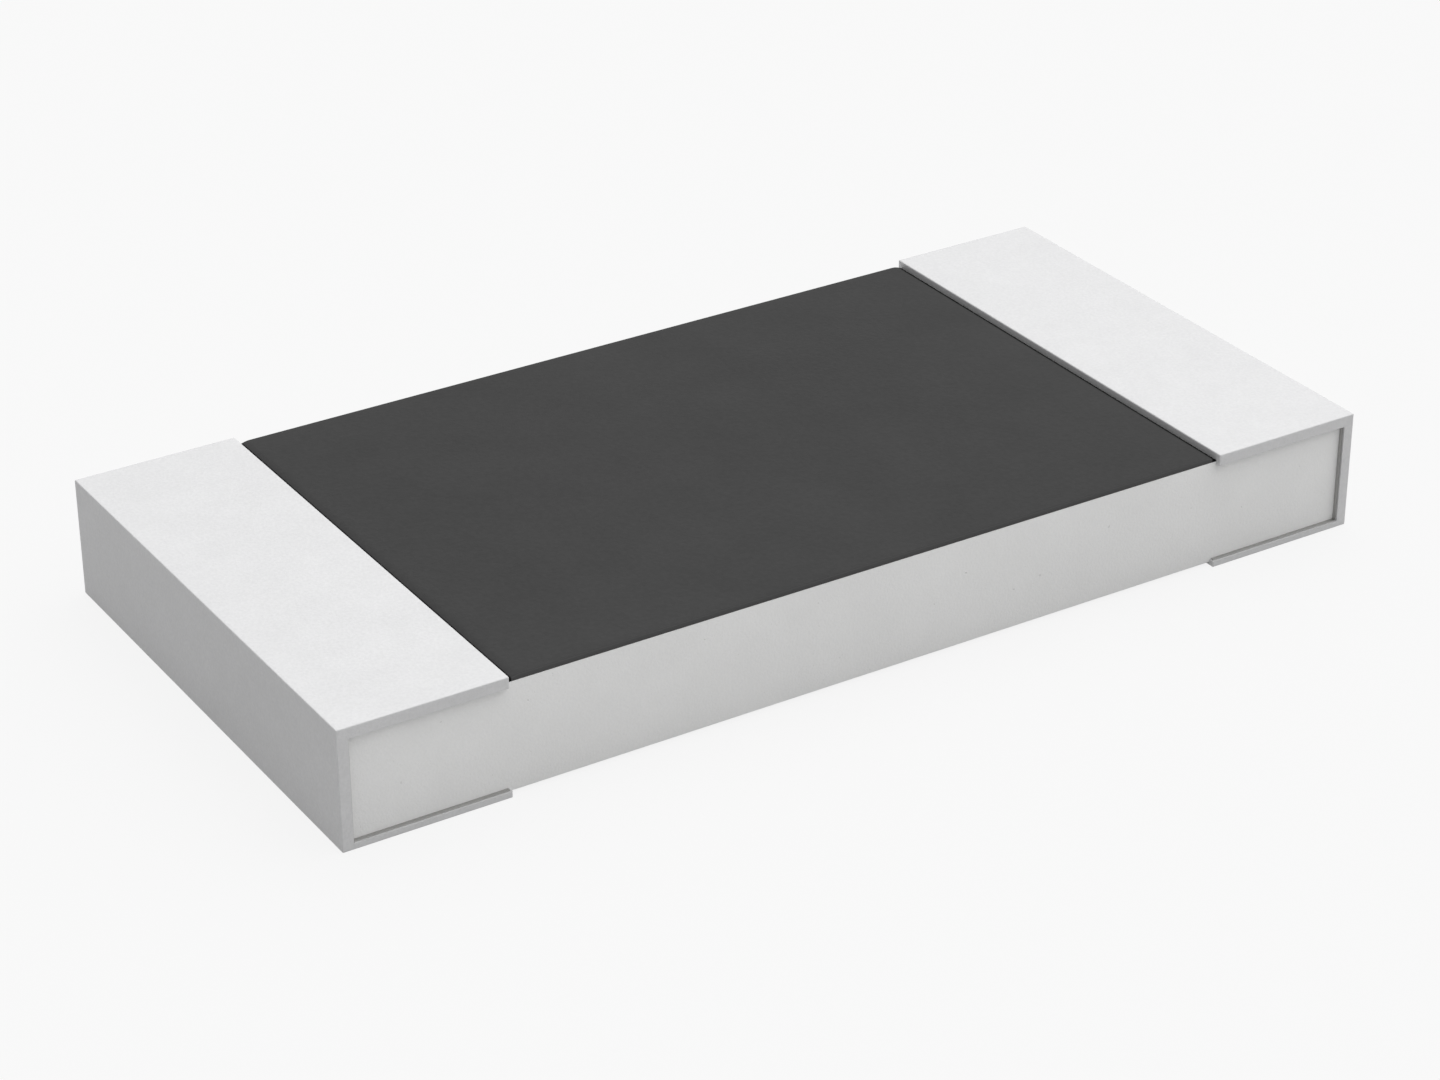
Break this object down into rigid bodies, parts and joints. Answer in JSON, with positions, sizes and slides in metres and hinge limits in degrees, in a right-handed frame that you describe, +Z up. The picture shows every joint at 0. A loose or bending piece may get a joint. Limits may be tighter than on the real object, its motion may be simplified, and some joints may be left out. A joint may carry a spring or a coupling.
{
  "type": "smd chip resistor",
  "caption": "Flat rectangular surface-mount chip resistor: a pale ceramic plate with a dark overcoat on top and matt tin terminations wrapped round its ends.",
  "frame": {"origin": "middle of the plane under the two terminations, where they rest on a circuit board", "axes": "+X along the length from the left termination to the right one, +Z up through the overcoat"},
  "size_m": [0.005, 0.0024, 0.0005],
  "materials": {
    "alumina": "matte",
    "resistive_film": "satin",
    "glass_coat": "gloss",
    "overcoat": "satin",
    "silver_electrode": "matte",
    "nickel": "satin",
    "matt_tin": "matte"
  },
  "bodies": {
    "root": {"ceramic_substrate": "alumina", "resistive_film": "resistive_film", "glass_coat": "glass_coat", "protective_overcoat": "overcoat", "top_electrode_left": "silver_electrode", "top_electrode_right": "silver_electrode", "upper_electrode_left": "silver_electrode", "upper_electrode_right": "silver_electrode", "edge_electrode_left": "silver_electrode", "edge_electrode_right": "silver_electrode", "bottom_electrode_left": "silver_electrode", "bottom_electrode_right": "silver_electrode", "nickel_barrier_left": "nickel", "nickel_barrier_right": "nickel", "tin_termination_left": "matt_tin", "tin_termination_right": "matt_tin"}
  },
  "joints": []
}
